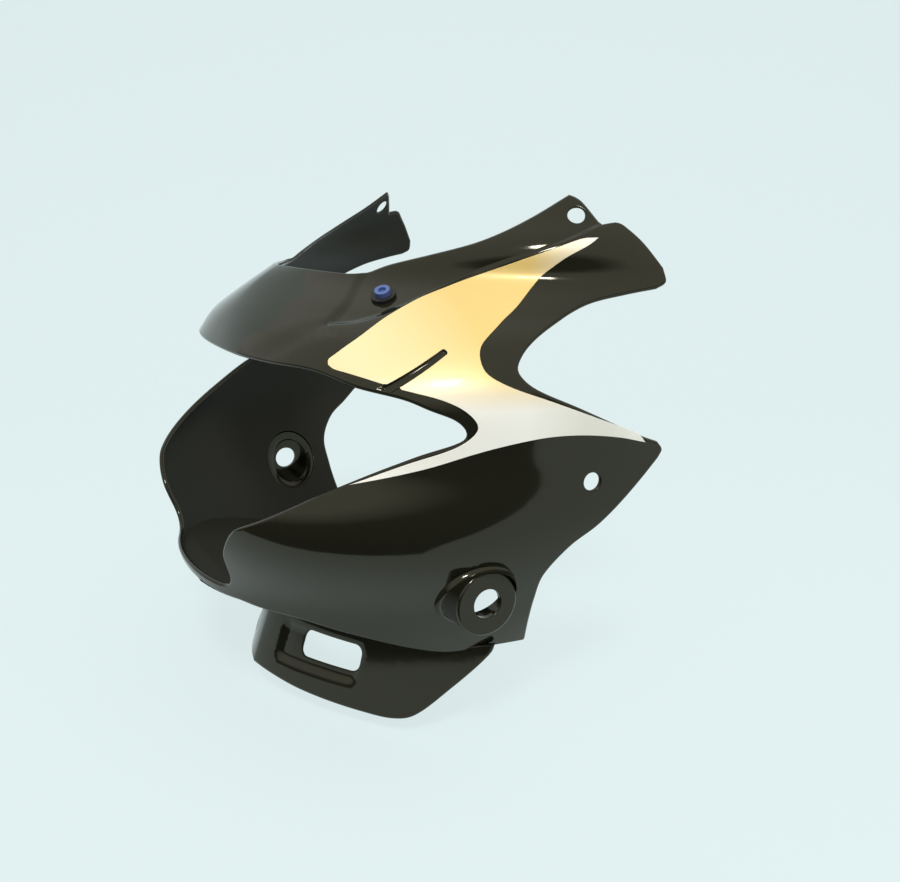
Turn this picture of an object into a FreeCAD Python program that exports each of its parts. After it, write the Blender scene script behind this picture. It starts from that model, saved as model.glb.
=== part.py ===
import FreeCAD, Part
import math
import os

os.makedirs("parts", exist_ok=True)

V = FreeCAD.Vector

# Driving sizes in mm. X is across (left side +), the nose looks along -Y, Z is up.
WIDTH = 334.0            # over the widest part of the wings
LENGTH = 228.0           # section lines, from the front of the lower lip to the rear reference
HEIGHT = 255.0           # section lines, lowest to highest
WALL = 3.0               # moulded wall
SEAT_DEPTH = 1.4         # windscreen seat below the panel face
CHIN_WIDTH = 262.0       # over the chin
CHIN_LENGTH = 91.0       # front of the chin to its rear reference, halfway down
CHIN_REAR = 25.0         # rear reference of the chin
CHIN_LEAN = 8.6          # forward for each quarter of the way down
CHIN_ROUND = 1.4         # 2 is an ellipse seen from above, less is more pointed
LEDGE = 3.0              # floor between the wings and the chin
BOSS_FACE = 150.0        # outer face of a fixing boss, from the middle
BOSS_RADIUS = 17.0       # pad of a fixing boss
BOSS_HOLE = 15.0         # diameter
TAB_HOLE = 9.0           # diameter, at the top of a prong
WING_HOLE = 9.0          # diameter, at the rear of a wing
SCREW_HOLE = 9.0         # diameter, at the front of the windscreen seat
VENT_WIDTH = 42.0        # chin vent, along the chin
VENT_HEIGHT = 15.5
VENT_CORNER = 5.0        # radius
VENT_DEPTH = 1.6         # recess round the vent
VENT_FLARE = 20.0        # how far the recess reaches in front of the vent
VENT_DROP = 8.0          # how far the recess reaches below the vent
VENT_RIM = 1.5           # how far the recess reaches behind and above the vent
GROOVE_DEPTH = 1.2
GROOVE_WIDTH = 3.0       # at the lip, tapering upward
STRIPE_THICK = 0.3       # vinyl stripe
STRIPE_GLUE = 0.1        # glue under the stripe
NUT_FLANGE = 13.0        # rubber well nut, diameter
NUT_FLANGE_THICK = 1.5
NUT_LENGTH = 12.0        # rubber behind the flange
NUT_BORE = 5.0           # diameter
NUT_GAP = 0.20           # clearance of the flange over the curved seat
SCREW_HEAD = 8.0         # diameter
SCREW_HEAD_HEIGHT = 2.6
SCREW_LENGTH = 12.0

ACROSS = WIDTH / 334.0
ALONG = LENGTH / 228.0
UP = HEIGHT / 255.0
REAR = 110.0             # rear reference of every section line

# Section lines of the skin: height, front, half width, roundness
SECTIONS = [
    (-50, -104, 126, 2.2),
    (-12, -112, 148, 2.2),
    (35, -121, 165, 2.6),
    (70, -105, 167, 2.5),
    (105, -92, 167, 2.5),
    (125, -83, 160, 2.2),
    (138, -73, 152, 1.8),
    (154, -52, 147, 1.5),
    (172, -12, 138, 2.0),
    (184, 5, 130, 2.0),
    (194, 22, 126, 2.0),
    (205, 32, 118, 2.0),
]

# Side outline, (along, up), one smooth run per list
OPENING = [(-81.4, 113.5), (-66.9, 113.3), (-49.8, 108.5), (-26.6, 103), (-14.4, 97.2), (-9.3, 91.7),
           (-10, 86.1), (-16.4, 81.7), (-38.1, 71.9), (-61, 61.8), (-81.1, 52.2), (-102, 38.8),
           (-107.3, 32), (-108.7, 19), (-105.2, 5.7), (-100.2, -8)]
SILL = [(-97.6, -14), (-87.9, -16.4), (-75.2, -18.8), (-53.4, -26.5), (-8, -41.5), (17.4, -40.4), (37, -39.4)]
WING_REAR = [(37, -39.4), (33.5, -23), (31.6, -8), (31.5, 9), (40.8, 24.5), (55.3, 35.5), (77, 55.3), (88, 66)]
WING_TIP = [(88, 66), (90.5, 70.5), (87, 75)]
NOTCH = [(87, 75), (75.2, 79.8), (40.8, 96.6), (20.5, 106.7), (14, 114), (16.5, 120), (26.5, 128),
         (44, 136), (62.3, 143), (82, 146.5), (98, 148.5)]
PRONG_END = [(98, 148.5), (104, 151.5), (104, 158.5)]
PRONG_REAR = [(104, 158.5), (96, 171), (87.1, 181.4)]
TAB = [(87.1, 181.4), (78, 180.2), (71.5, 194), (68.5, 195)]
TOP = [(68.5, 195), (48.3, 183.8), (24.1, 172.7), (3.9, 165.5), (-12, 160), (-25.3, 154.7), (-40, 155.3), (-52, 156.5)]
SEAT_LOW = [(-54.8, 131.6), (-40.4, 133.7), (-24.9, 138.2), (7, 150.1), (36.9, 163.5), (76, 179.1), (100, 189)]
SEAT_FRONT = [(-20, 159), (-24.2, 154.7), (-38.3, 142.3), (-54.8, 131.6)]
CHIN_LOW = [(-85, -81), (-75, -82), (-62.2, -84.5), (-39.9, -86.7), (-27, -87), (-17.7, -82.7), (-2.5, -64.8),
            (15, -42.7)]

# Coloured field on each side
STRIPE_TOP = [(-59.8, 116.1), (-46.8, 126.3), (-30.4, 134.9), (-11.1, 143.4), (6.3, 149.6), (21.3, 155.4),
              (39.7, 163.5), (54.5, 169.3), (65.5, 173.6), (71.4, 171.6)]
STRIPE_REAR = [(71.4, 171.6), (57, 164.5), (49.4, 157.7), (40.5, 150.1), (27.9, 141.1), (15, 133.7),
               (3.1, 126.7), (-0.7, 121.8), (-1.4, 116), (1.3, 112.1), (10.2, 107.1), (25.9, 100.9),
               (48.8, 91.5), (73.3, 81), (78.7, 75.8)]
STRIPE_LOW = [(78.7, 75.8), (62.3, 80.2), (43.4, 83.1), (25.9, 83.6), (8.2, 81.4), (-8.9, 77.5),
              (-30.3, 70.8), (-61, 62.8)]
STRIPE_LIP = [(-61, 62.8), (-38, 73.4), (-17.5, 82.6), (-9, 86.8), (-7.8, 91.6), (-13, 98),
              (-22.3, 103), (-38.3, 107), (-49.3, 110), (-59.8, 116.1)]

# Places of the holes, (along, up)
BOSS_AT = (-0.9, -0.2)
TAB_AT = (67.9, 184.9)
WING_AT = (49.2, 59)
SCREW_AT = (-21.9, 145.4)
VENT_AT = (-46.5, -57.8)
GROOVE_FOOT = (-43.3, 106.4)
GROOVE_HEAD = (-14.6, 123.0)


def run(column, z):
    """One value of the section lines at a height, smooth between the lines."""
    heights = [line[0] * UP for line in SECTIONS]
    values = [line[column] for line in SECTIONS]
    last = len(heights) - 1
    here = 0
    while here < last - 1 and heights[here + 1] <= z:
        here += 1

    def slope(i):
        low, high = max(i - 1, 0), min(i + 1, last)
        return (values[high] - values[low]) / (heights[high] - heights[low])

    step = heights[here + 1] - heights[here]
    s = (z - heights[here]) / step
    start = (2 * s**3 - 3 * s**2 + 1) * values[here] + (s**3 - 2 * s**2 + s) * step * slope(here)
    end = (3 * s**2 - 2 * s**3) * values[here + 1] + (s**3 - s**2) * step * slope(here + 1)
    return start + end


def rounded(angle, power):
    """Place on a rounded half outline: sideways -1 to 1, forward 0 to 1."""
    side = math.copysign(abs(math.sin(angle)) ** (2.0 / power), angle)
    depth = max(math.cos(angle), 0.0) ** (2.0 / power)
    return side, depth


def skin_point(z, angle, inset):
    """A point of the skin; the angle runs from -90 (right rear) round the nose to 90."""
    front = run(1, z) * ALONG + inset
    half = run(2, z) * ACROSS - inset
    rear = REAR * ALONG
    side, depth = rounded(angle, run(3, z))
    return V(half * side, rear - (rear - front) * depth, z)


def side_x(y, z):
    """Half width of the skin at a place seen from the side."""
    front = run(1, z) * ALONG
    rear = REAR * ALONG
    n = run(3, z)
    depth = (rear - y) / (rear - front)
    return run(2, z) * ACROSS * (1.0 - depth**n) ** (1.0 / n)


def on_skin(place):
    """Point and outward direction of the left skin at a place seen from the side."""
    y, z = place[0] * ALONG, place[1] * UP
    d = 0.5
    along = V(side_x(y + d, z) - side_x(y - d, z), 2 * d, 0)
    up = V(side_x(y, z + d) - side_x(y, z - d), 0, 2 * d)
    out = along.cross(up)
    out.normalize()
    return V(side_x(y, z), y, z), out


def surface(rows):
    net = Part.BSplineSurface()
    net.interpolate(rows)
    return net.toShape()


def skin(inset=0.0):
    """The outer face of the moulding before its outline is trimmed, or one set in from it."""
    low, high = SECTIONS[0][0] * UP, SECTIONS[-1][0] * UP
    rows = []
    for i in range(19):
        z = low + (high - low) * i / 18
        rows.append([skin_point(z, math.radians(90 - 180 * j / 24), inset) for j in range(25)])
    return surface(rows)


def filled(face):
    """The space inside a face made of level rows, closed by flat and ruled faces."""
    edges = face.Edges
    level = [e for e in edges if abs(e.Vertexes[0].Z - e.Vertexes[-1].Z) < 1e-6]
    rising = [e for e in edges if abs(e.Vertexes[0].Z - e.Vertexes[-1].Z) > 1e-6]
    faces = [face, Part.makeRuledSurface(rising[0], rising[1])]
    for edge in level:
        chord = Part.makeLine(edge.Vertexes[0].Point, edge.Vertexes[-1].Point)
        faces.append(Part.Face(Part.Wire([edge, chord])))
    shell = Part.Shell(faces)
    shell.sewShape()
    solid = Part.Solid(shell)
    if solid.Volume < 0:
        solid.reverse()
    return solid


def smooth(points):
    """An edge through (along, up) points in the middle plane."""
    places = [V(0, y * ALONG, z * UP) for y, z in points]
    if len(places) == 2:
        return Part.makeLine(places[0], places[1])
    curve = Part.BSplineCurve()
    curve.interpolate(places)
    return curve.toShape()


def straight(points):
    return [smooth([points[i], points[i + 1]]) for i in range(len(points) - 1)]


def layer(face, depth):
    """What lies above a depth below the face, to cut shallow forms out of it."""
    low = face.makeOffsetShape(-depth, 0.01)
    return low.makeOffsetShape(2 * WALL, 0.01, fill=True)


def across(edges, x0, x1):
    """A prism through the moulding from side outline edges."""
    face = Part.Face(Part.Wire(edges))
    face.translate(V(x0, 0, 0))
    return face.extrude(V(x1 - x0, 0, 0))


def rod(base, direction, radius, length):
    return Part.makeCylinder(radius, length, base, direction)


def mirrored(shape):
    return shape.mirror(V(0, 0, 0), V(1, 0, 0))


def outline():
    """Everything that stays of the skin, seen from the side."""
    edges = straight([(-150, 112), OPENING[0]])
    edges.append(smooth(OPENING))
    edges += straight([OPENING[-1], (-150, -7), (-150, -11), SILL[0]])
    for part in (SILL, WING_REAR, WING_TIP, NOTCH, PRONG_END, PRONG_REAR):
        edges.append(smooth(part))
    edges += straight(TAB)
    edges.append(smooth(TOP))
    edges += straight([TOP[-1], (-150, 166), (-150, 112)])
    return across(edges, 0, WIDTH)


def seat():
    """Outline of the windscreen seat, open above."""
    edges = [smooth(SEAT_LOW)]
    edges += straight([SEAT_LOW[-1], (90, 215), (-20, 215), SEAT_FRONT[0]])
    edges.append(smooth(SEAT_FRONT))
    return across(edges, 0, WIDTH)


def groove():
    """A slit that tapers upward from the lip of the opening."""
    foot, head = V(0, *GROOVE_FOOT), V(0, *GROOVE_HEAD)
    across_slit = V(1, 0, 0).cross(head - foot)
    across_slit.normalize()
    half = across_slit * (GROOVE_WIDTH / 2)
    tip = across_slit * (GROOVE_WIDTH / 8)
    corners = [foot + half, head + tip, head - tip, foot - half, foot + half]
    return across(straight([(p.y, p.z) for p in corners]), 0, WIDTH)


def chin_skin():
    """Outer face of the chin, a little further forward at its foot."""
    rows = []
    for i in range(5):
        z = (-4 - 24 * i) * UP
        lean = CHIN_LEAN * (i - 2)
        row = []
        for j in range(19):
            angle = math.radians(90 - 10 * j)
            side, depth = rounded(angle, CHIN_ROUND)
            x = CHIN_WIDTH / 2 * side
            y = CHIN_REAR * ALONG - (CHIN_LENGTH + lean) * depth
            row.append(V(x, y, z))
        rows.append(row)
    return surface(rows)


def vent_prism(forward, down, grow):
    """Rounded prism across the chin wall at the left vent, reaching further forward and down than the hole."""
    y, z = VENT_AT[0] * ALONG, VENT_AT[1] * UP
    n = CHIN_ROUND
    depth = (CHIN_REAR * ALONG - y) / CHIN_LENGTH
    side = (1 - depth**n) ** (1 / n)
    along = V(CHIN_WIDTH / 2 * depth ** (n - 1), CHIN_LENGTH * side ** (n - 1), 0)
    along.normalize()
    up = V(0, 0, 1)
    normal = along.cross(up)
    place = V(CHIN_WIDTH / 2 * side, y, z) - normal * (8 * WALL)
    r = VENT_CORNER + grow
    ends = {1: VENT_WIDTH / 2 + grow - r, -1: r - VENT_WIDTH / 2 - forward}
    levels = {1: VENT_HEIGHT / 2 + grow - r, -1: r - VENT_HEIGHT / 2 - down}
    spots = []
    for sx, sz in ((1, 1), (-1, 1), (-1, -1), (1, -1)):
        middle = place + along * ends[sx] + up * levels[sz]
        out_x, out_z = along * (sx * r), up * (sz * r)
        first, second = (out_x, out_z) if sx * sz > 0 else (out_z, out_x)
        diagonal = (first + second) * math.sqrt(0.5)
        spots.append((middle + first, middle + diagonal, middle + second))
    edges = []
    for i, (a, b, c) in enumerate(spots):
        edges.append(Part.Arc(a, b, c).toShape())
        edges.append(Part.makeLine(c, spots[(i + 1) % 4][0]))
    return Part.Face(Part.Wire(edges)).extrude(normal * (16 * WALL))


def chin():
    """Band below the wings with a vent on each side."""
    face = chin_skin()
    band = face.makeOffsetShape(-WALL, 0.01, fill=True)
    top = [(y, z + LEDGE * 0.5 / UP) for y, z in SILL[:-1]]
    start = (-150, top[0][1])
    edges = straight([start, top[0]]) + [smooth(top), smooth(CHIN_LOW + [top[-1]])]
    edges += straight([CHIN_LOW[0], (-150, -64), start])
    band = band.common(across(edges, 0, WIDTH))
    recess = layer(face, VENT_DEPTH).common(vent_prism(VENT_FLARE, VENT_DROP, VENT_RIM))
    return band.cut(recess).cut(vent_prism(0, 0, 0)), filled(face)


def ledge(inside, chin_space):
    """Floor between the foot of the wings and the chin."""
    low = SILL[:-1]
    top = [(y, z + LEDGE / UP) for y, z in low]
    edges = straight([(-150, low[0][1]), low[0]]) + [smooth(low)] + straight([low[-1], top[-1]])
    edges += [smooth(top)] + straight([top[0], (-150, top[0][1]), (-150, low[0][1])])
    return inside.common(across(edges, 0, WIDTH)).cut(chin_space)


def boss_place():
    return V(0, BOSS_AT[0] * ALONG, BOSS_AT[1] * UP)


def with_boss(shell, inside):
    """Fixing boss standing out from the skin, hollow behind, its pad square to the fixing axis."""
    at = boss_place()
    side = V(1, 0, 0)
    body = rod(at, side, BOSS_RADIUS, BOSS_FACE).cut(inside)
    dish = rod(at + side * BOSS_FACE, side, BOSS_RADIUS, WIDTH)
    back = rod(at, side, BOSS_RADIUS - WALL, BOSS_FACE - WALL)
    hole = rod(at, side, BOSS_HOLE / 2, WIDTH)
    return shell.fuse(body).cut([dish, back, hole])


def hole_through(place, diameter):
    point, out = on_skin(place)
    return rod(point - out * 15, out, diameter / 2, 30)


def visor_shell(face):
    """The left half with everything on it, then both halves as one moulding."""
    inside = filled(skin(WALL / 2))
    shell = face.makeOffsetShape(-WALL, 0.01, fill=True)
    shell = shell.common(outline())
    shell = shell.cut(layer(face, SEAT_DEPTH).common(seat()))
    shell = shell.cut(layer(face, GROOVE_DEPTH).common(groove()))
    band, chin_space = chin()
    shell = shell.fuse([ledge(inside, chin_space), band])
    shell = with_boss(shell, inside)
    for place, size in ((TAB_AT, TAB_HOLE), (WING_AT, WING_HOLE), (SCREW_AT, SCREW_HOLE)):
        shell = shell.cut(hole_through(place, size))
    return shell.fuse(mirrored(shell)).removeSplitter()


def stripe(face):
    """Left vinyl stripe, lying on the skin."""
    glued = face.makeOffsetShape(STRIPE_GLUE, 0.01)
    sheet = glued.makeOffsetShape(STRIPE_THICK, 0.01, fill=True)
    edges = [smooth(part) for part in (STRIPE_TOP, STRIPE_REAR, STRIPE_LOW, STRIPE_LIP)]
    return sheet.common(across(edges, 20, WIDTH)).cut(groove())


def well_nut():
    """Left rubber nut, its flange on the windscreen seat."""
    point, out = on_skin(SCREW_AT)
    base = point + out * (NUT_GAP - SEAT_DEPTH)
    flange = rod(base, out, NUT_FLANGE / 2, NUT_FLANGE_THICK)
    sleeve = rod(base - out * NUT_LENGTH, out, SCREW_HOLE / 2, NUT_LENGTH)
    bore = rod(base - out * NUT_LENGTH, out, NUT_BORE / 2, 2 * NUT_LENGTH)
    return flange.fuse(sleeve).cut(bore).removeSplitter()


def screw():
    """Left screw, its head on the rubber flange."""
    point, out = on_skin(SCREW_AT)
    base = point + out * (NUT_GAP + NUT_FLANGE_THICK - SEAT_DEPTH)
    head = rod(base, out, SCREW_HEAD / 2, SCREW_HEAD_HEIGHT)
    shank = rod(base - out * SCREW_LENGTH, out, NUT_BORE / 2, SCREW_LENGTH)
    socket = rod(base + out * (0.4 * SCREW_HEAD_HEIGHT), out, SCREW_HEAD / 4, SCREW_HEAD_HEIGHT)
    return head.fuse(shank).cut(socket).removeSplitter()


def save(name, shape):
    """Write a part with the origin midway between the fixing holes."""
    moved = shape.copy()
    moved.translate(boss_place() * -1)
    moved.exportStep("parts/" + name + ".step")


outer = skin()
save("visor_shell", visor_shell(outer))
left_stripe = stripe(outer)
save("stripe_left", left_stripe)
save("stripe_right", mirrored(left_stripe))
save("well_nut_left", well_nut())
save("screw_left", screw())
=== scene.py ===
import math
import bpy
import numpy as np
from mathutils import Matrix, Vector
from mathutils.geometry import delaunay_2d_cdt
from mathutils.kdtree import KDTree


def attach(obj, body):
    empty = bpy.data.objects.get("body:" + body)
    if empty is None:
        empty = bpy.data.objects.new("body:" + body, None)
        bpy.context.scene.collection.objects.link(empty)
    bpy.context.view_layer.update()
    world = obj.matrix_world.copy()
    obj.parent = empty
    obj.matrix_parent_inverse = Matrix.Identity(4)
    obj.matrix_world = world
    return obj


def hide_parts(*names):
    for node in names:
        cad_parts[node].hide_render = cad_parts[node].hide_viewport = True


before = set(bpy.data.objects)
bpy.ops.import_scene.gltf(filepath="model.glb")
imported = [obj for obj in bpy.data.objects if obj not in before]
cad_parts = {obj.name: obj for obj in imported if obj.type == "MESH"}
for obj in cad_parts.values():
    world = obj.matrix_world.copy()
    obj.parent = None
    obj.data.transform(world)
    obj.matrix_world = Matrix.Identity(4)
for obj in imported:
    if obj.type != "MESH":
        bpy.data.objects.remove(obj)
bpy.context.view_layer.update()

# Sizes in mm. X is across (left side +), the nose looks along -Y, Z is up.
# The headlight opening, the stripe, the slit and some corners are closer to the photo than the part's.
WALL = 3.0
LEAST_WALL = 0.3         # wall kept under a recess
REAR = 110.0
LIP_MIDDLE = -13.2       # foot of the lip at the front
OPENING_CORNER = 16.0    # rounding where the wing meets the front lip
SMALL_HOLE = 9.0
HOLE_RIM = 0.8           # rounding round a hole or a vent
SEAT_DEPTH = 1.4
SEAT_SOFT = (0.4, 2.0)   # the seat's step: start outside the outline, width
CREASE_DEPTH = 0.5       # soft valley from the seat to the lower edge of the nose
CREASE_HALF = 4.0
GROOVE_DEPTH = 1.2
GROOVE_WIDTH = 3.4
GROOVE_TIP = 2.2
GROOVE_SOFT = (0.2, 0.6)
STRIPE_THICK = 0.3
STRIPE_GLUE = 0.1
STRIPE_RIM = 0.15
CHIN_WIDTH = 262.0
CHIN_LENGTH = 91.0       # at the height of CHIN_LEVEL
CHIN_LEVEL = -52.0
CHIN_LEAN = 8.6          # further forward at CHIN_DROP below that height
CHIN_DROP = 24.0
CHIN_REAR = 25.0
CHIN_ROUND = 1.4
CHIN_HEEL = 2.5          # rise of the chin at its rear end, against the wing
CHIN_HEEL_RUN = 20.0
CHIN_EDGE_FROM = 0.02    # angle from which the chin's edges follow their outlines
LEDGE = 3.0
LEDGE_INSET = 0.6 * WALL     # outer edge of the floor, inside the skin
LEDGE_UNDER = 0.5 * WALL     # inner edge of the floor, behind the chin's face
BOSS_FACE = 150.0
BOSS_RADIUS = 17.0
BOSS_HOLE = 15.0
BOSS_BLEND = 2.5         # soft foot of a boss on the skin
BOSS_FLARE = 0.8         # the foot halfway up: beyond the wall, above the skin
BOSS_FLARE_UP = 1.2
BOSS_WALL_FROM = 3.5
PAD_EDGE = 1.5           # rounding of the pad's edge, and its middle
PAD_EDGE_MIDDLE = 0.45
MOUTH_EDGE = 0.7         # rounding of the fixing hole's edge, and its middle
MOUTH_EDGE_MIDDLE = 0.2
VENT_WIDTH = 42.0
VENT_HEIGHT = 15.5
VENT_CORNER = 5.0
VENT_DEPTH = 1.6
VENT_FLARE = 20.0
VENT_DROP = 8.0
VENT_RIM = 1.5
VENT_SOFT = (0.5, 5.5)

# Mesh
GRID = 2.2               # spacing of the skin mesh
GRID_ROW = 0.87          # height of a row, in spacings
GRID_CLEAR = 0.6         # least gap to an edge or a row of extra points, in spacings
SPREAD = 130.0           # mm of skin for one radian, near enough for even triangles
EDGE_SPACING = 1.6
SLIT_SPACING = 1.0
LIP_SPACING = 2.0
SEAT_ROWS = (-1.2, -0.4, 0.4, 1.2, 2.0)
GROOVE_ROWS = (-0.7, -0.2, 0.3, 0.8)
CORNER_POINTS = 9
VENT_CORNER_POINTS = 7
RIM_ROWS = 7
LEDGE_ROWS = 9
NOSE_STEPS = 3
HOLE_POINTS = 40
BOSS_POINTS = 72

# Section lines of the skin: height, front, half width, roundness
SECTIONS = [
    (-50, -104, 126, 2.2),
    (-12, -112, 148, 2.2),
    (35, -121, 165, 2.6),
    (70, -105, 167, 2.5),
    (105, -92, 167, 2.5),
    (125, -83, 160, 2.2),
    (138, -73, 152, 1.8),
    (154, -52, 147, 1.5),
    (172, -12, 138, 2.0),
    (184, 5, 130, 2.0),
    (194, 22, 126, 2.0),
    (205, 32, 118, 2.0),
]

# Side outlines, (along, up)
OPENING = [(-81.4, 113.5), (-66.9, 113), (-53.7, 107.4), (-37.1, 102.8), (-27.2, 98), (-17.3, 93.4),
           (-12.9, 88.7), (-12.9, 84.9), (-17.2, 82.1), (-34.2, 76.1), (-60.6, 64.1), (-80.9, 53.1),
           (-102, 38.8), (-107.3, 32), (-108.7, 19), (-105.2, 5.7), (-100.2, -8)]
SILL = [(-97.6, -14), (-87.9, -16.4), (-75.2, -18.8), (-53.4, -26.5), (-8, -41.5), (17.4, -40.4), (37, -39.4)]
WING_REAR = [(37, -39.4), (33.5, -23), (31.6, -8), (31.5, 9), (40.8, 24.5), (55.3, 35.5), (77, 55.3),
             (88, 66)]
WING_TIP = [(88, 66), (90.5, 70.5), (87, 75)]
NOTCH = [(87, 75), (75.2, 79.8), (40.8, 96.6), (20.5, 106.7), (14, 114), (16.5, 120), (26.5, 128),
         (44, 136), (62.3, 143), (82, 146.5), (98, 148.5)]
PRONG_END = [(98, 148.5), (104, 151.5), (104, 158.5)]
PRONG_REAR = [(104, 158.5), (96, 171), (87.1, 181.4)]
TAB = [(87.1, 181.4), (78, 180.2), (71.5, 194), (68.5, 195)]
TOP = [(68.5, 195), (48.3, 183.8), (24.1, 172.7), (3.9, 165.5), (-12, 160), (-25.3, 154.7),
       (-40, 155.3), (-52, 156.5)]
SEAT_LOW = [(-54.8, 131.6), (-40.4, 133.7), (-24.9, 138.2), (7, 150.1), (36.9, 163.5), (76, 179.1),
            (100, 189)]
SEAT_ABOVE = [(90, 215), (-20, 215)]     # closes the seat's outline above the skin
SEAT_FRONT = [(-20, 159), (-24.2, 154.7), (-38.3, 142.3), (-54.8, 131.6)]
CHIN_LOW = [(-85, -81), (-75, -82), (-62.2, -84.5), (-39.9, -86.5), (-27, -86.7), (-17.7, -82.5),
            (-2.5, -64.8), (15, -42.7)]
STRIPE_TOP = [(-60.1, 115.8), (-59.3, 117.8), (-57.1, 119.6), (-46.8, 126.3), (-30.4, 134.9), (-11.1, 143.4),
              (6.3, 149.6), (21.3, 155.4), (39.7, 163.5), (54.5, 169.3), (65.2, 172.8), (72.6, 173.2)]
STRIPE_REAR = [(72.6, 173.2), (67.7, 170), (56.6, 164), (49, 157.7), (40.5, 150.1), (27.9, 141.1),
               (15, 133.7), (3.1, 126.7), (-0.7, 121.8), (-1.4, 116), (1.3, 112.1), (10.2, 107.1),
               (25.9, 100.9), (48.8, 91.5), (73.3, 81), (78.7, 75.8)]
STRIPE_LOW = [(78.7, 75.8), (62.3, 80.2), (43.4, 83.1), (25.9, 83.6), (8.2, 81.4), (-8.9, 77.5),
              (-30.3, 70.8), (-61, 62.8)]
STRIPE_LIP = [(-61, 62.8), (-38, 72.9), (-17.5, 80.6), (-9, 86.8), (-7.8, 91.6), (-13, 98), (-22.3, 103),
              (-38.3, 107.6), (-49, 111.2), (-55.4, 113.2), (-58.8, 114.2), (-60.1, 115.8)]
CREASE = [(-80.1, 115.3), (-75, 119.7), (-68.9, 124), (-60.9, 128.4), (-53.6, 131)]
BOSS_AT = (-0.9, -0.2)
TAB_AT = (67.9, 184.9)
WING_AT = (49.2, 59)
SCREW_AT = (-21.9, 145.4)
VENT_AT = (-46.5, -57.8)
GROOVE_FOOT = (-43.3, 106.4)
GROOVE_HEAD = (-14.6, 123.0)
ROUNDED = ((TAB[2], 3.5), (TAB[0], 5.0), (WING_REAR[0], 2.5))    # corners of the outer edge, with reach

# The frame's origin is midway between the fixing holes.
SHIFT = np.array([0.0, -BOSS_AT[0], -BOSS_AT[1]])

# Camera, in metres
CAMERA_AT = (0.5176, -0.2230, 0.1987)
CAMERA_AIM = (-0.0749, 0.1022, 0.0166)
LENS = 38.0              # lens and sensor in mm
SENSOR = 36.0

# Studio, in metres
FLOOR_LEVEL = -0.098
FLOOR_REACH = 3.0
FLOOR_EDGE = -0.22       # near edge of the floor, just below the picture
APRON_FROM = 0.06
GROUND_SHINE = 0.85      # share of the ground's own light where it is seen
BACKDROP_AT = 1.6
BACKDROP_BEND = 0.9
BACKDROP_HEIGHT = 2.5
BACKDROP_STEPS = 16
KEY_AT = (1.15, -0.60, 1.35)
KEY_SIZE = 0.3
KEY_POWER = 18           # watts
LAMP_AIM = (0, 0, 0.05)
SKY_HEIGHTS = (0.05, 0.32)       # the sky brightens between these heights of its unit sphere
SKY_LIGHT = (0.06, 0.88)

# Colours
PAINT = (0.011, 0.0112, 0.0065)
PAINT_SHEEN = (1.0, 0.95, 0.76)
PLASTIC = (0.017, 0.0172, 0.012)
GOLD = (0.78, 0.57, 0.20)
# Pale gold towards the front: a painted highlight of glare on the film
GOLD_PAINTED_HIGHLIGHT = (0.95, 0.88, 0.58)
SILVER = (0.95, 0.93, 0.85)
SILVER_REAR = (0.66, 0.64, 0.55)
# Pale tint at the upper tip: a painted highlight on the film
TIP_PAINTED_HIGHLIGHT = (0.84, 0.82, 0.74)
RUBBER = (0.006, 0.006, 0.005)
BLUE = (0.085, 0.138, 0.34)
GROUND = (0.752, 0.863, 0.871)
SKY = (1.0, 1.0, 0.96)

# Where the stripe's colours and its painted highlights blend, in metres
GOLD_ABOVE = (0.097, 0.113)      # heights, from silver to gold
HIGHLIGHT_FADE_ALONG = (0.005, -0.050)     # places along, towards the front, over which the painted highlight grows
HIGHLIGHT_MOST_SHARE = 0.6                # most of the painted highlight's pale gold that is mixed in
REAR_FADE = (0.015, 0.065)       # places along, towards the rear
# Places along, towards the rear, over which the tip's painted highlight takes over
TIP_HIGHLIGHT_FADE = (0.042, 0.072)


def bend(s, step, start, start_slope, end, end_slope):
    """Places on a smooth curve between two places with given slopes, at shares s of the step."""
    first = (2 * s**3 - 3 * s**2 + 1) * start + (s**3 - 2 * s**2 + s) * step * start_slope
    second = (3 * s**2 - 2 * s**3) * end + (s**3 - s**2) * step * end_slope
    return first + second


def run(column, z):
    """Values of the section lines at some heights, smooth between the lines."""
    heights = np.array([line[0] for line in SECTIONS], float)
    values = np.array([line[column] for line in SECTIONS], float)
    last = len(heights) - 1
    index = np.arange(last + 1)
    low, high = np.maximum(index - 1, 0), np.minimum(index + 1, last)
    slopes = (values[high] - values[low]) / (heights[high] - heights[low])
    z = np.clip(z, heights[0], heights[-1])
    here = np.clip(np.searchsorted(heights, z, side="right") - 1, 0, last - 1)
    step = heights[here + 1] - heights[here]
    s = (z - heights[here]) / step
    return bend(s, step, values[here], slopes[here], values[here + 1], slopes[here + 1])


class Skin:
    """The outer skin as a map from (angle, height) to a place and an outward direction."""

    def half(self, z):
        return run(2, z)

    def reach(self, z):
        return REAR - run(1, z)

    def power(self, z):
        return run(3, z)

    def rear(self):
        return REAR

    def place(self, angle, z):
        side = np.sign(angle) * np.abs(np.sin(angle)) ** (2 / self.power(z))
        depth = np.maximum(np.cos(angle), 0.0) ** (2 / self.power(z))
        return np.stack([self.half(z) * side, self.rear() - self.reach(z) * depth, z], axis=-1)

    def level(self, p):
        n = self.power(p[..., 2])
        depth = np.maximum(self.rear() - p[..., 1], 0.0) / self.reach(p[..., 2])
        return (np.abs(p[..., 0]) / self.half(p[..., 2])) ** n + depth**n

    def out(self, p):
        d = 0.05
        steps = np.eye(3) * d
        slope = np.stack([self.level(p + s) - self.level(p - s) for s in steps], axis=-1)
        return slope / np.maximum(np.linalg.norm(slope, axis=-1, keepdims=True), 1e-12)

    def angle(self, y, z):
        """Angle on the left side of a place seen from the side; beyond the front it is 0."""
        depth = np.clip((self.rear() - y) / self.reach(z), 0.0, 1.0)
        return np.arccos(np.clip(depth ** (self.power(z) / 2), 0.0, 1.0))


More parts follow.
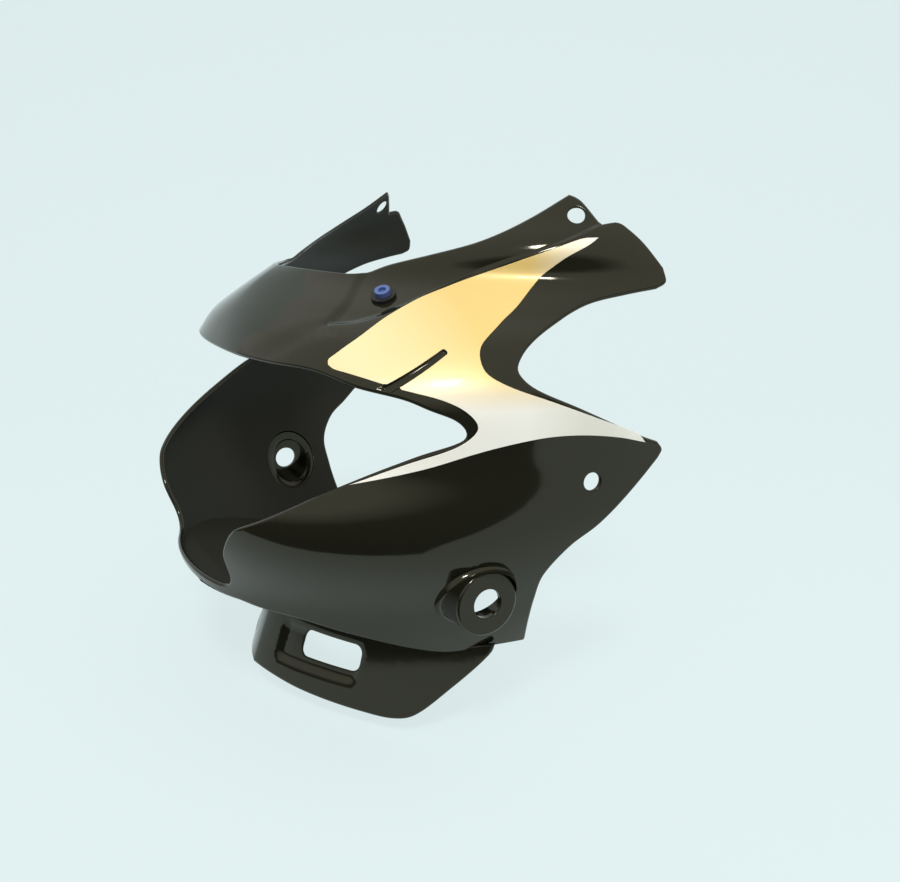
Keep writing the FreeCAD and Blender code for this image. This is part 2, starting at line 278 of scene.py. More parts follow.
class Chin(Skin):
    """The chin, leaning forward at its foot."""

    def half(self, z):
        return np.full(np.shape(z), CHIN_WIDTH / 2)

    def reach(self, z):
        return CHIN_LENGTH + CHIN_LEAN * (CHIN_LEVEL - np.asarray(z, float)) / CHIN_DROP

    def power(self, z):
        return np.full(np.shape(z), CHIN_ROUND)

    def rear(self):
        return CHIN_REAR


def smooth(points, spacing=EDGE_SPACING):
    """Closely spaced points on a smooth curve through some points."""
    p = np.array(points, float)
    if len(p) == 2:
        count = max(int(np.linalg.norm(p[1] - p[0]) / spacing), 1)
        return p[0] + (p[1] - p[0]) * np.linspace(0, 1, count + 1)[:, None]
    gaps = np.sqrt(np.linalg.norm(np.diff(p, axis=0), axis=1))
    at = np.concatenate([[0], np.cumsum(gaps)])
    slopes = np.zeros_like(p)
    slopes[1:-1] = (p[2:] - p[:-2]) / (at[2:] - at[:-2])[:, None]
    slopes[0] = (p[1] - p[0]) / gaps[0]
    slopes[-1] = (p[-1] - p[-2]) / gaps[-1]
    pieces = [p[:1]]
    for i in range(len(p) - 1):
        count = max(int(np.linalg.norm(p[i + 1] - p[i]) / spacing), 3)
        s = np.linspace(0, 1, count + 1)[1:, None]
        pieces.append(bend(s, gaps[i], p[i], slopes[i], p[i + 1], slopes[i + 1]))
    return np.concatenate(pieces)


def straight(points):
    """Closely spaced points on straight lines through some points."""
    pieces = [smooth(points[i:i + 2]) for i in range(len(points) - 1)]
    return np.concatenate([pieces[0]] + [p[1:] for p in pieces[1:]])


def eased(edge, corner, reach):
    """A run of points with one corner rounded off over a reach on both sides."""
    near = np.flatnonzero(np.linalg.norm(edge - np.array(corner, float), axis=1) < reach)
    first, last = edge[near[0]], edge[near[-1]]
    s = np.linspace(0, 1, CORNER_POINTS)[:, None]
    arc = (1 - s) ** 2 * first + 2 * s * (1 - s) * np.array(corner, float) + s**2 * last
    return np.concatenate([edge[:near[0]], arc, edge[near[-1] + 1:]])


def circle(place, radius, count):
    turn = np.linspace(0, 2 * math.pi, count, endpoint=False)
    return np.stack([place[0] + radius * np.cos(turn), place[1] + radius * np.sin(turn)], axis=1)


def drilled(surface, place, radius):
    """Side view of a round hole drilled square to the skin."""
    at = flat(surface, np.array([place], float))
    out = surface.out(surface.place(at[:, 0], at[:, 1]))[0]
    first = np.cross(out, [0.0, 0.0, 1.0])
    first /= np.linalg.norm(first)
    second = np.cross(out, first)
    turn = np.linspace(0, 2 * math.pi, HOLE_POINTS, endpoint=False)[:, None]
    ring = radius * (np.cos(turn) * first + np.sin(turn) * second)
    return np.array(place) + ring[:, 1:]


def flat(surface, points):
    """Side outline places on the left side as (angle, height) places."""
    return np.stack([surface.angle(points[:, 0], points[:, 1]), points[:, 1]], axis=1)


def other_side(loop):
    """A loop of the left side on the right side."""
    return loop[::-1] * np.array([-1.0, 1.0])


def across(loop):
    """A loop over both sides from its left half, which starts and ends on the middle."""
    return np.concatenate([loop, other_side(loop)[1:-1]])


def area(loop):
    u, z = loop[:, 0], loop[:, 1]
    return 0.5 * np.sum(u * np.roll(z, -1) - np.roll(u, -1) * z)


def turned(loop, left):
    """The loop anticlockwise if left is set, otherwise clockwise."""
    return loop if (area(loop) > 0) == left else loop[::-1]


def within(points, loop):
    """Which points lie inside a loop."""
    x, y = points[:, 0][:, None], points[:, 1][:, None]
    a, b = loop, np.roll(loop, -1, axis=0)
    rising = (a[:, 1] > y) != (b[:, 1] > y)
    rise = np.where(b[:, 1] == a[:, 1], 1e-12, b[:, 1] - a[:, 1])
    crossing = (b[:, 0] - a[:, 0]) * (y - a[:, 1]) / rise + a[:, 0]
    return (np.sum(rising & (x < crossing), axis=1) % 2) == 1


def clearance(points, loop):
    """Distance of points from a closed loop."""
    best = np.full(len(points), 1e9)
    for a, b in zip(loop, np.roll(loop, -1, axis=0)):
        d = b - a
        t = np.clip(((points - a) @ d) / max(d @ d, 1e-12), 0, 1)
        best = np.minimum(best, np.linalg.norm(points - a - t[:, None] * d, axis=1))
    return best


def share_in(points, loop, before, width):
    """Share from 0 to 1 over a width that starts some way before a loop is entered."""
    inward = np.where(within(points, loop), 1.0, -1.0) * clearance(points, loop)
    return np.clip((inward + before) / width, 0, 1)


def soft(share):
    """A share from 0 to 1 with level ends."""
    return share * share * (3 - 2 * share)


def spaced(points, others, gap):
    """Those points that keep a gap from some others."""
    tree = KDTree(len(others))
    for i, (u, z) in enumerate(others):
        tree.insert((u, z, 0.0), i)
    tree.balance()
    return points[np.array([tree.find((u, z, 0.0))[2] > gap for u, z in points])]


def triangles(outer, holes, extra):
    """Even triangles over a loop with holes, in (angle, height)."""
    scale = np.array([SPREAD, 1.0])
    loops = [turned(outer, True) * scale] + [turned(h, False) * scale for h in holes]
    low, high = loops[0].min(axis=0), loops[0].max(axis=0)
    u = np.arange(low[0], high[0], GRID)
    z = np.arange(low[1], high[1], GRID * GRID_ROW)
    grid = np.stack(np.meshgrid(u, z), axis=-1)
    grid[1::2, :, 0] += GRID / 2
    inner = grid.reshape(-1, 2)
    if extra:
        rows = np.concatenate(extra) * scale
        inner = np.concatenate([spaced(inner, rows, GRID_CLEAR * GRID), rows])

    def allowed(points):
        keep = within(points, loops[0])
        for hole in loops[1:]:
            keep &= ~within(points, hole)
        return keep

    inner = inner[allowed(inner)]
    for loop in loops:
        inner = inner[clearance(inner, loop) > GRID_CLEAR * GRID]
    points, edges, spans = [], [], []
    for loop in loops:
        start = sum(len(p) for p in points)
        points.append(loop)
        count = len(loop)
        edges += [(start + i, start + (i + 1) % count) for i in range(count)]
        spans.append((start, count))
    points = np.concatenate(points + [inner])
    made = delaunay_2d_cdt([Vector(p) for p in points], edges, [], 0, 1e-5)
    where = np.array([tuple(v) for v in made[0]])
    faces = np.array([f for f in made[2] if len(f) == 3])
    faces = faces[allowed(where[faces].mean(axis=1))]
    source = {}
    for new, olds in enumerate(made[3]):
        for old in olds:
            source[old] = new
    rings = [[source[start + i] for i in range(count)] for start, count in spans]
    return where / scale, faces, rings


class Build:
    """Vertices, faces and directions of one piece, gathered before it becomes a mesh."""

    def __init__(self):
        self.points, self.normals, self.faces, self.slots, self.count = [], [], [], [], 0

    def add(self, points, normals):
        start = self.count
        self.points.append(np.asarray(points, float))
        self.normals.append(np.asarray(normals, float))
        self.count += len(points)
        return start

    def strip(self, first, second, count, slot=0, closed=True):
        """Quads between two rows of vertices that were added in the same order."""
        for i in range(count if closed else count - 1):
            j = (i + 1) % count
            self.faces.append((first + i, first + j, second + j, second + i))
            self.slots.append(slot)

    def facing(self, face, points, normals):
        """The face, turned round where it looks against the directions of its vertices."""
        face = [int(i) for i in face]
        corner = points[face]
        look = np.cross(corner[1] - corner[0], corner[2] - corner[0])
        if len(face) == 4:
            look = np.cross(corner[2] - corner[0], corner[3] - corner[1])
        return face if look @ normals[face].sum(axis=0) >= 0 else face[::-1]

    def piece(self, name, materials):
        """The mesh in the scene, riding on the part's body."""
        points = np.concatenate(self.points) + SHIFT
        normals = np.concatenate(self.normals)
        normals /= np.maximum(np.linalg.norm(normals, axis=1, keepdims=True), 1e-9)
        mesh = bpy.data.meshes.new(name)
        faces = [self.facing(f, points, normals) for f in self.faces]
        mesh.from_pydata((points / 1000).tolist(), [], faces)
        for material in materials:
            mesh.materials.append(material)
        mesh.polygons.foreach_set("material_index", self.slots)
        mesh.polygons.foreach_set("use_smooth", [True] * len(mesh.polygons))
        mesh.update()
        mesh.normals_split_custom_set_from_vertices(normals.tolist())
        piece = bpy.data.objects.new(name, mesh)
        bpy.context.scene.collection.objects.link(piece)
        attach(piece, "root")
        return piece


def tilted(places, out, lift):
    """Directions of a face that is raised and lowered by a lift."""
    d = 0.4
    slope = np.stack([(lift(places + s) - lift(places - s)) / (2 * d) for s in np.eye(3) * d], axis=-1)
    slope -= out * np.sum(slope * out, axis=1, keepdims=True)
    look = out - slope
    return look / np.linalg.norm(look, axis=1, keepdims=True)


def sheet(build, surface, outer, holes, thick, extra=(), lift=None, rims=None, lie=0.0, slots=(0, 1, 0)):
    """A moulded sheet with rounded edges: outer face, inner face and rims round every loop."""
    where, faces, rings = triangles(outer, holes, list(extra))
    base = surface.place(where[:, 0], where[:, 1])
    out = surface.out(base)
    rise = np.full(len(base), lie) if lift is None else lift(base) + lie
    face_places = base + out * rise[:, None]
    look = out if lift is None else tilted(base, out, lift)
    back_places = base + out * np.minimum(rise - LEAST_WALL, lie - thick)[:, None]
    edges = []
    for ring, rim in zip(rings, rims or [thick / 2] * len(rings)):
        p = base[ring]
        along = np.roll(p, -1, axis=0) - np.roll(p, 1, axis=0)
        side = np.cross(along, out[ring])
        side /= np.maximum(np.linalg.norm(side, axis=1, keepdims=True), 1e-9)
        edges.append((ring, rim, side))
        face_places[ring] -= side * rim
        back_places[ring] -= side * min(rim, thick / 2)
    front = build.add(face_places, look)
    back = build.add(back_places, -out)
    for f in faces:
        build.faces.append(tuple(front + i for i in f))
        build.slots.append(slots[0])
        build.faces.append(tuple(back + i for i in f[::-1]))
        build.slots.append(slots[1])
    for ring, rim, side in edges:
        rows = []
        count = len(ring)
        top, foot, n = face_places[ring], back_places[ring], out[ring]
        middle = (top + foot) / 2
        for turn in np.linspace(0, math.pi, RIM_ROWS):
            along_n = (top - foot) / 2 * math.cos(turn)
            bulge = side * (min(rim, thick / 2) * math.sin(turn))
            rows.append(build.add(middle + along_n + bulge, n * math.cos(turn) + side * math.sin(turn)))
        for a, b in zip(rows, rows[1:]):
            build.strip(b, a, count, slots[2])


def seat_loop():
    """Outline of the windscreen seat, seen from the side."""
    above = straight([SEAT_LOW[-1], *SEAT_ABOVE, SEAT_FRONT[0]])
    return np.concatenate([smooth(SEAT_LOW), above[1:], smooth(SEAT_FRONT)[1:-1]])


def groove_loop():
    """Outline of the slit, wide at its foot and rounded at its head."""
    foot, head = np.array(GROOVE_FOOT), np.array(GROOVE_HEAD)
    run_on = (head - foot) / np.linalg.norm(head - foot)
    side = np.array([-run_on[1], run_on[0]])
    turn = np.linspace(math.pi / 2, -math.pi / 2, CORNER_POINTS)[:, None]
    tip = head + GROOVE_TIP / 2 * (np.cos(turn) * run_on + np.sin(turn) * side)
    first = smooth([foot + side * GROOVE_WIDTH / 2, tip[0]], SLIT_SPACING)
    second = smooth([tip[-1], foot - side * GROOVE_WIDTH / 2], SLIT_SPACING)
    return np.concatenate([first, tip[1:], second[1:]])


def skin_rise(places):
    """Rise of the skin over its section lines: negative in the seat, the slit and the crease."""
    seen = places[:, 1:]
    seat = soft(share_in(seen, seat_loop(), *SEAT_SOFT))
    slit = share_in(seen, groove_loop(), *GROOVE_SOFT)
    away = np.linalg.norm(seen[:, None] - smooth(CREASE)[None], axis=2).min(axis=1)
    valley = soft(np.clip(1 - away / CREASE_HALF, 0, 1))
    return -SEAT_DEPTH * seat - CREASE_DEPTH * valley - GROOVE_DEPTH * slit


def beside(points, distances):
    """Points set off both ways from a curve."""
    along = np.gradient(points, axis=0)
    side = np.stack([-along[:, 1], along[:, 0]], axis=1)
    side /= np.linalg.norm(side, axis=1, keepdims=True)
    return np.concatenate([points + side * d for d in distances])


def both(surface, points):
    """Side outline places on both sides, as (angle, height) places."""
    left = flat(surface, points)
    return [left, left * np.array([-1.0, 1.0])]


def outer_half():
    """Outer edge of the left half, from the nose round the rear to the middle of the lip."""
    top = smooth(TOP)[::-1]
    skin = Skin()
    top = top[(REAR - top[:, 0]) / skin.reach(top[:, 1]) < 1.0]
    parts = [top, straight(TAB)[::-1], smooth(PRONG_REAR)[::-1], smooth(PRONG_END)[::-1], smooth(NOTCH)[::-1],
             smooth(WING_TIP)[::-1], smooth(WING_REAR)[::-1], smooth(SILL)[::-1]]
    edge = np.concatenate([parts[0]] + [p[1:] for p in parts[1:]])
    for corner, reach in ROUNDED:
        edge = eased(edge, corner, reach)
    half = flat(skin, edge)
    start, end = half[0], half[-1]
    lead_angles = np.linspace(0, start[0], NOSE_STEPS + 1)[:-1]
    lead = np.stack([lead_angles, np.full(NOSE_STEPS, start[1])], axis=1)
    count = int(end[0] * SPREAD / LIP_SPACING)
    tail_angles = np.linspace(end[0], 0, count + 1)[1:]
    tail_heights = np.linspace(end[1], LIP_MIDDLE, count + 1)[1:]
    tail = np.stack([tail_angles, tail_heights], axis=1)
    return np.concatenate([lead, half, tail])


def opening_half():
    """Edge of the left half of the headlight opening, from the nose to the lip."""
    skin = Skin()
    half = flat(skin, smooth(OPENING))
    start, end = half[0], half[-1]
    head = int(start[0] * SPREAD / LIP_SPACING)
    foot = int(end[0] * SPREAD / LIP_SPACING)
    lead = np.stack([np.linspace(0, start[0], head + 1)[:-1], np.full(head, start[1])], axis=1)
    tail = np.stack([np.linspace(end[0], 0, foot + 1)[1:], np.full(foot, end[1])], axis=1)
    scale = np.array([SPREAD, 1.0])
    return eased(np.concatenate([lead, half, tail]) * scale, end * scale, OPENING_CORNER) / scale


def boss(build, hand):
    """Fixing boss: wall from the skin out to the pad, the pad with its hole, the hollow behind."""
    skin = Skin()
    turn = np.linspace(0, 2 * math.pi, BOSS_POINTS, endpoint=False)
    spokes = np.stack([np.zeros(BOSS_POINTS), np.cos(turn), np.sin(turn)], axis=1)
    middle = np.array([0, BOSS_AT[0], BOSS_AT[1]])
    flip = np.array([hand, 1, 1])

    def foot(radius, inset):
        ring = middle + spokes * radius
        angles = flat(skin, ring[:, 1:])
        edge = skin.place(angles[:, 0], angles[:, 1])
        return (edge - skin.out(edge) * inset)[:, 0]

    def row(radius, x, normal_r, normal_x):
        points = middle + spokes * radius
        points[:, 0] = x
        normals = spokes * normal_r
        normals[:, 0] = normal_x
        return build.add(points * flip, normals * flip)

    # Each row: radius, place across, and its direction away from the axis and across.
    wide, outer, inner, hole = BOSS_RADIUS + BOSS_BLEND, BOSS_RADIUS, BOSS_RADIUS - WALL, BOSS_HOLE / 2
    face, back = BOSS_FACE, BOSS_FACE - WALL
    root = foot(wide, 0.0)
    bands = [
        [(wide, root, 0.5, 0.87),
         (outer + BOSS_FLARE, root + BOSS_FLARE_UP, 0.8, 0.6),
         (outer, root + BOSS_WALL_FROM, 1, 0),
         (outer, face - PAD_EDGE, 1, 0),
         (outer - PAD_EDGE_MIDDLE, face - PAD_EDGE_MIDDLE, 0.7, 0.7),
         (outer - PAD_EDGE, face, 0, 1),
         (hole + MOUTH_EDGE, face, 0, 1),
         (hole + MOUTH_EDGE_MIDDLE, face - MOUTH_EDGE_MIDDLE, -0.7, 0.7),
         (hole, face - MOUTH_EDGE, -1, 0),
         (hole, back, -1, 0)],
        [(hole, back, 0, -1),
         (inner, back, 0, -1)],
        [(inner, back, -1, 0),
         (inner, foot(inner, WALL), -1, 0)],
        [(inner, foot(inner, WALL), -0.5, -0.87),
         (wide, foot(wide, WALL), 0, -1)],
    ]
    for band in bands:
        rows = [row(*line) for line in band]
        for a, b in zip(rows, rows[1:]):
            build.strip(a, b, BOSS_POINTS)


def chin_loops():
    """Outer edge and vents of the chin."""
    chin = Chin()
    top = smooth(SILL[:-1])
    heel = np.clip((top[:, 0] - SILL[-3][0]) / CHIN_HEEL_RUN, 0, 1)
    top[:, 1] += LEDGE / 2 + CHIN_HEEL * heel
    low = smooth(CHIN_LOW + [tuple(top[-1])])
    top_half = flat(chin, top)
    low_half = flat(chin, low)
    top_half = top_half[top_half[:, 0] > CHIN_EDGE_FROM]
    low_half = low_half[low_half[:, 0] > CHIN_EDGE_FROM]
    first, last = [[0.0, top_half[0][1]]], [[0.0, low_half[0][1]]]
    half = np.concatenate([first, top_half, low_half[::-1][1:], last])
    return across(half), [vent_loop(), other_side(vent_loop())]


def vent_loop(forward=0.0, down=0.0, grow=0.0):
    """Rounded outline at the left vent, as (angle, height)."""
    y, z = VENT_AT
    n = CHIN_ROUND
    depth = (CHIN_REAR - y) / CHIN_LENGTH
    side = (1 - depth**n) ** (1 / n)
    along = np.array([CHIN_WIDTH / 2 * depth ** (n - 1), CHIN_LENGTH * side ** (n - 1)])
    along /= np.linalg.norm(along)
    r = VENT_CORNER + grow
    ends = (VENT_WIDTH / 2 + grow - r, r - VENT_WIDTH / 2 - forward)
    levels = (VENT_HEIGHT / 2 + grow - r, r - VENT_HEIGHT / 2 - down)
    corners = ((ends[0], levels[0]), (ends[1], levels[0]), (ends[1], levels[1]), (ends[0], levels[1]))
    points = []
    for quarter, (u, v) in enumerate(corners):
        for turn in np.linspace(0, math.pi / 2, VENT_CORNER_POINTS):
            a = quarter * math.pi / 2 + turn
            points.append((u + r * math.cos(a), v + r * math.sin(a)))
    points = np.array(points)
    points = np.concatenate([smooth([p, q])[:-1] for p, q in zip(points, np.roll(points, -1, axis=0))])
    x = CHIN_WIDTH / 2 * side + along[0] * points[:, 0]
    angle = np.arcsin(np.clip(x / (CHIN_WIDTH / 2), 0, 1) ** (n / 2))
    return np.stack([angle, z + points[:, 1]], axis=1)


def chin_rise(places):
    """Rise of the chin over its face: negative in the recess round each vent."""
    scale = np.array([CHIN_WIDTH / 2, 1.0])
    mouth = vent_loop(VENT_FLARE, VENT_DROP, VENT_RIM)
    loop = np.stack([np.sin(mouth[:, 0]) ** (2 / CHIN_ROUND), mouth[:, 1]], axis=1) * scale
    seen = np.stack([np.abs(places[:, 0]), places[:, 2]], axis=1)
    return -VENT_DEPTH * soft(share_in(seen, loop, *VENT_SOFT))


def ledge(build):
    """Floor between the foot of the wings and the chin, sloping down from the front lip."""
    skin, chin = Skin(), Chin()
    level = SILL[0][1]
    front = (REAR - skin.reach(level) + LEDGE_INSET, level)
    line = np.concatenate([smooth([front, SILL[0]]), smooth(SILL[:-1])[1:]])
    at_skin = flat(skin, line)
    at_chin = flat(chin, line - np.array([LEDGE_UNDER, 0.0]))
    wide = skin.place(at_skin[:, 0], at_skin[:, 1])[:, 0] - LEDGE_INSET
    narrow = np.minimum(chin.place(at_chin[:, 0], at_chin[:, 1])[:, 0], wide)
    slope = np.gradient(line[:, 1], line[:, 0])
    look = np.stack([np.zeros(len(line)), -slope, np.ones(len(line))], axis=1)
    for hand in (1, -1):
        for lift, way, slot in ((LEDGE, 1, 1), (0.0, -1, 0)):
            rows = []
            for share in np.linspace(0, 1, LEDGE_ROWS):
                x = hand * (narrow + (wide - narrow) * share)
                rows.append(build.add(np.stack([x, line[:, 0], line[:, 1] + lift], axis=1), look * way))
            for a, b in zip(rows, rows[1:]):
                build.strip(a, b, len(line), slot, closed=False)


def shell_piece(paint, inside):
    """The moulded shell: skin, bosses, chin and floor."""
    build = Build()
    skin = Skin()
    outer = across(outer_half())
    holes = [across(opening_half())]
    rims = [WALL / 2, WALL / 2]
    for place in (TAB_AT, WING_AT, SCREW_AT):
        for loop in both(skin, drilled(skin, place, SMALL_HOLE / 2)):
            holes.append(loop)
            rims.append(HOLE_RIM)
    for loop in both(skin, circle(BOSS_AT, BOSS_RADIUS + BOSS_BLEND, BOSS_POINTS)):
        holes.append(loop)
        rims.append(0.0)
    lines = np.concatenate([smooth(SEAT_LOW), smooth(SEAT_FRONT)])
    extra = both(skin, beside(lines, SEAT_ROWS))
    extra += both(skin, beside(groove_loop(), GROOVE_ROWS))
    sheet(build, skin, outer, holes, WALL, extra=extra, lift=skin_rise, rims=rims)
    for hand in (1, -1):
        boss(build, hand)
    chin_outer, vents = chin_loops()
    mouth = vent_loop(VENT_FLARE, VENT_DROP, VENT_RIM)
    extra = [mouth, mouth * np.array([-1.0, 1.0])]
    rims = [WALL / 2, HOLE_RIM, HOLE_RIM]
    sheet(build, Chin(), chin_outer, vents, WALL, extra=extra, lift=chin_rise, rims=rims)
    ledge(build)
    piece = build.piece("visor_shell_looks", [paint, inside])
    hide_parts("visor_shell")


def slit_open(loop):
    """The stripe's edge, led up and down both sides of the slit."""
    slit = groove_loop()
    path = slit[within(slit, loop)]
    gone = np.flatnonzero(within(loop, slit))
    rest = np.roll(loop, -gone[-1] - 1, axis=0)[:len(loop) - len(gone)]
    ends = [np.linalg.norm(path[i] - rest[-1]) for i in (0, -1)]
    return np.concatenate([path if ends[0] < ends[1] else path[::-1], rest])


def stripe_piece(name, node, hand, film):
    """The coloured film of one side, as a thin sheet over its glue."""
    build = Build()
    skin = Skin()
    edge = np.concatenate([smooth(STRIPE_TOP), smooth(STRIPE_REAR)[1:], smooth(STRIPE_LOW)[1:],
                           smooth(STRIPE_LIP)[1:-1]])
    outer = flat(skin, slit_open(edge))
    if hand < 0:
        outer = other_side(outer)
    lie = STRIPE_GLUE + STRIPE_THICK
    sheet(build, skin, outer, [], STRIPE_THICK, lie=lie, rims=[STRIPE_RIM], slots=(0, 0, 0))
    piece = build.piece(name, [film])
    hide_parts(node)


def material(name):
    """A new material and its shader."""
    made = bpy.data.materials.new(name)
    made.use_nodes = True
    return made, made.node_tree.nodes["Principled BSDF"]


def ramp(tree, source, low, high, to_low=0.0, to_high=1.0):
    """A value that follows a source from one range into another."""
    node = tree.nodes.new("ShaderNodeMapRange")
    node.inputs["From Min"].default_value = low
    node.inputs["From Max"].default_value = high
    node.inputs["To Min"].default_value = to_low
    node.inputs["To Max"].default_value = to_high
    tree.links.new(source, node.inputs["Value"])
    return node.outputs["Result"]


def mixed(tree, share, first, second):
    """A colour between two, each of them a plain colour or another node's output."""
    node = tree.nodes.new("ShaderNodeMix")
    node.data_type = "RGBA"
    tree.links.new(share, node.inputs["Factor"])
    for name, colour in (("A", first), ("B", second)):
        if isinstance(colour, tuple):
            node.inputs[name].default_value = (*colour, 1)
        else:
            tree.links.new(colour, node.inputs[name])
    return node.outputs["Result"]


def place_parts(tree, kind):
    """The parts X, Y and Z of a texture place."""
    where = tree.nodes.new("ShaderNodeTexCoord")
    parts = tree.nodes.new("ShaderNodeSeparateXYZ")
    tree.links.new(where.outputs[kind], parts.inputs["Vector"])
    return parts.outputs


def grain(made, scale, strength, distance):
    """A fine unevenness of the surface."""
    nodes, links = made.node_tree.nodes, made.node_tree.links
    where = nodes.new("ShaderNodeTexCoord")
    ripple = nodes.new("ShaderNodeTexNoise")
    ripple.inputs["Scale"].default_value = scale
    ripple.inputs["Detail"].default_value = 2.0
    links.new(where.outputs["Object"], ripple.inputs["Vector"])
    bump = nodes.new("ShaderNodeBump")
    bump.inputs["Strength"].default_value = strength
    bump.inputs["Distance"].default_value = distance
    links.new(ripple.outputs["Fac"], bump.inputs["Height"])
    links.new(bump.outputs["Normal"], nodes["Principled BSDF"].inputs["Normal"])


def paint_material():
    """Gloss black paint with the faint ripple of a sprayed coat."""
    made, shader = material("gloss_black_paint")
    shader.inputs["Base Color"].default_value = (*PAINT, 1)
    shader.inputs["Roughness"].default_value = 0.09
    shader.inputs["Specular IOR Level"].default_value = 0.42
    shader.inputs["Specular Tint"].default_value = (*PAINT_SHEEN, 1)
    grain(made, scale=60.0, strength=0.03, distance=0.002)
    return made


def inside_material():
    """Bare moulded plastic on the inner face, slightly grained."""
    made, shader = material("bare_plastic")
    shader.inputs["Base Color"].default_value = (*PLASTIC, 1)
    shader.inputs["Roughness"].default_value = 0.6
    shader.inputs["Specular IOR Level"].default_value = 0.15
    grain(made, scale=900.0, strength=0.15, distance=0.0003)
    return made


def film_material():
    """Vinyl film, golden above with a painted highlight that pales it towards the front, blending to silver
    below, and paled by a painted highlight at the upper tip.
    """
    made, shader = material("stripe_film")
    shader.inputs["Roughness"].default_value = 0.42
    shader.inputs["Metallic"].default_value = 0.1
    shader.inputs["Coat Weight"].default_value = 0.1
    shader.inputs["Coat Roughness"].default_value = 0.08
    tree = made.node_tree
    parts = place_parts(tree, "Object")
    along, up = parts["Y"], parts["Z"]
    silver = mixed(tree, ramp(tree, along, *REAR_FADE), SILVER, SILVER_REAR)
    # Gold, paled towards the front by a painted highlight of glare
    gold_and_painted_highlight = mixed(tree, ramp(tree, along, *HIGHLIGHT_FADE_ALONG, to_high=HIGHLIGHT_MOST_SHARE), GOLD, GOLD_PAINTED_HIGHLIGHT)
    field = mixed(tree, ramp(tree, up, *GOLD_ABOVE), silver, gold_and_painted_highlight)
    # The tip's painted highlight laid over the stripe's colours
    whole = mixed(tree, ramp(tree, along, *TIP_HIGHLIGHT_FADE), field, TIP_PAINTED_HIGHLIGHT)
    tree.links.new(whole, shader.inputs["Base Color"])
    grain(made, scale=1500.0, strength=0.04, distance=0.0002)
    return made


def plain_material(name, colour, roughness, metallic=0.0):
    """One even colour with a fine grain."""
    made, shader = material(name)
    shader.inputs["Base Color"].default_value = (*colour, 1)
    shader.inputs["Roughness"].default_value = roughness
    shader.inputs["Metallic"].default_value = metallic
    grain(made, scale=1200.0, strength=0.08, distance=0.0002)
    return made


def dress(node, made):
    """The part's own mesh of a node, in another material."""
    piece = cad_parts[node]
    piece.data.materials.clear()
    piece.data.materials.append(made)


def pale_material(colour):
    """Matt pale ground, mostly shining by itself where it is seen, so that its shadow stays faint."""
    made, shader = material("pale_ground")
    nodes, links = made.node_tree.nodes, made.node_tree.links
    shader.inputs["Base Color"].default_value = (*colour, 1)
    shader.inputs["Roughness"].default_value = 0.9
    shader.inputs["Specular IOR Level"].default_value = 0.0
    shine = nodes.new("ShaderNodeEmission")
    shine.inputs["Color"].default_value = (*colour, 1)
    path = nodes.new("ShaderNodeLightPath")
    seen = nodes.new("ShaderNodeMath")
    links.new(path.outputs["Is Camera Ray"], seen.inputs[0])
    links.new(path.outputs["Is Glossy Ray"], seen.inputs[1])
    through = nodes.new("ShaderNodeMath")
    links.new(seen.outputs["Value"], through.inputs[0])
    links.new(path.outputs["Is Transmission Ray"], through.inputs[1])
    share = nodes.new("ShaderNodeMath")
    share.operation = "MULTIPLY"
    share.use_clamp = True
    share.inputs[1].default_value = GROUND_SHINE
    links.new(through.outputs["Value"], share.inputs[0])
    blend = nodes.new("ShaderNodeMixShader")
    links.new(share.outputs["Value"], blend.inputs[0])
    links.new(shader.outputs["BSDF"], blend.inputs[1])
    links.new(shine.outputs["Emission"], blend.inputs[2])
    links.new(blend.outputs["Shader"], nodes["Material Output"].inputs["Surface"])
    return made


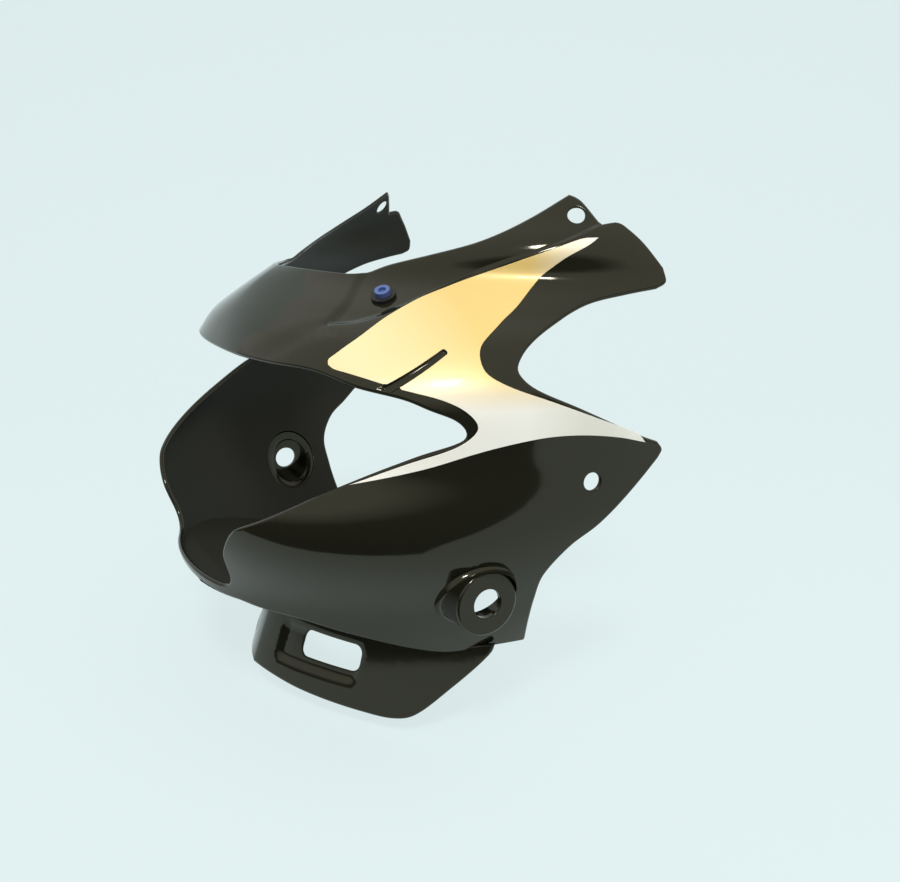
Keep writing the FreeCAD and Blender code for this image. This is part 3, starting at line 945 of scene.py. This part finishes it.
def cove():
    """Pale floor that curves up into a backdrop, with an apron beside the camera."""
    away = Vector(CAMERA_AIM) - Vector(CAMERA_AT)
    away.z = 0.0
    away.normalize()
    aside = Vector((away.y, -away.x, 0.0))

    def spot(out, along, up):
        place = away * out + aside * along
        return place.x, place.y, up

    profile = [(FLOOR_EDGE, FLOOR_LEVEL), (BACKDROP_AT - BACKDROP_BEND, FLOOR_LEVEL)]
    for step in range(1, BACKDROP_STEPS + 1):
        turn = math.pi / 2 * step / BACKDROP_STEPS
        profile.append((BACKDROP_AT - BACKDROP_BEND * (1 - math.sin(turn)),
                        FLOOR_LEVEL + BACKDROP_BEND * (1 - math.cos(turn))))
    profile.append((BACKDROP_AT, FLOOR_LEVEL + BACKDROP_HEIGHT))
    points = []
    for out, up in profile:
        points += [spot(out, -FLOOR_REACH, up), spot(out, FLOOR_REACH, up)]
    faces = [(2 * i, 2 * i + 1, 2 * i + 3, 2 * i + 2) for i in range(len(profile) - 1)]
    first = len(points)
    points += [spot(FLOOR_EDGE, APRON_FROM, FLOOR_LEVEL), spot(FLOOR_EDGE, FLOOR_REACH, FLOOR_LEVEL),
               spot(FLOOR_EDGE - FLOOR_REACH, FLOOR_REACH, FLOOR_LEVEL)]
    faces.append((first, first + 2, first + 1))
    mesh = bpy.data.meshes.new("cove")
    mesh.from_pydata(points, [], faces)
    mesh.polygons.foreach_set("use_smooth", [True] * len(faces))
    mesh.materials.append(pale_material(GROUND))
    floor = bpy.data.objects.new("cove", mesh)
    bpy.context.scene.collection.objects.link(floor)


def aimed(name, data, place, aim):
    """A lamp or camera at one place, looking at another."""
    holder = bpy.data.objects.new(name, data)
    holder.location = place
    holder.rotation_euler = (Vector(aim) - Vector(place)).to_track_quat("-Z", "Y").to_euler()
    bpy.context.scene.collection.objects.link(holder)
    return holder


def lamp(name, place, size, power):
    light = bpy.data.lights.new(name, "AREA")
    light.size = size
    light.energy = power
    aimed(name, light, place, LAMP_AIM)


def sky():
    """Soft light from above, dim at the horizon and below."""
    world = bpy.data.worlds.new("studio")
    bpy.context.scene.world = world
    world.use_nodes = True
    tree = world.node_tree
    light = ramp(tree, place_parts(tree, "Generated")["Z"], *SKY_HEIGHTS, *SKY_LIGHT)
    background = tree.nodes["Background"]
    background.inputs["Color"].default_value = (*SKY, 1)
    tree.links.new(light, background.inputs["Strength"])


def floor_and_light():
    sky()
    cove()
    lamp("key", KEY_AT, KEY_SIZE, KEY_POWER)


def camera():
    view = bpy.data.cameras.new("camera")
    view.sensor_width = SENSOR
    view.lens = LENS
    bpy.context.scene.camera = aimed("camera", view, CAMERA_AT, CAMERA_AIM)


bpy.context.scene.view_settings.view_transform = "Standard"
shell_piece(paint_material(), inside_material())
film = film_material()
stripe_piece("stripe_left_looks", "stripe_left", 1, film)
stripe_piece("stripe_right_looks", "stripe_right", -1, film)
dress("well_nut_left", plain_material("rubber", RUBBER, roughness=0.6))
dress("screw_left", plain_material("blue_metal", BLUE, roughness=0.4, metallic=0.2))
floor_and_light()
camera()
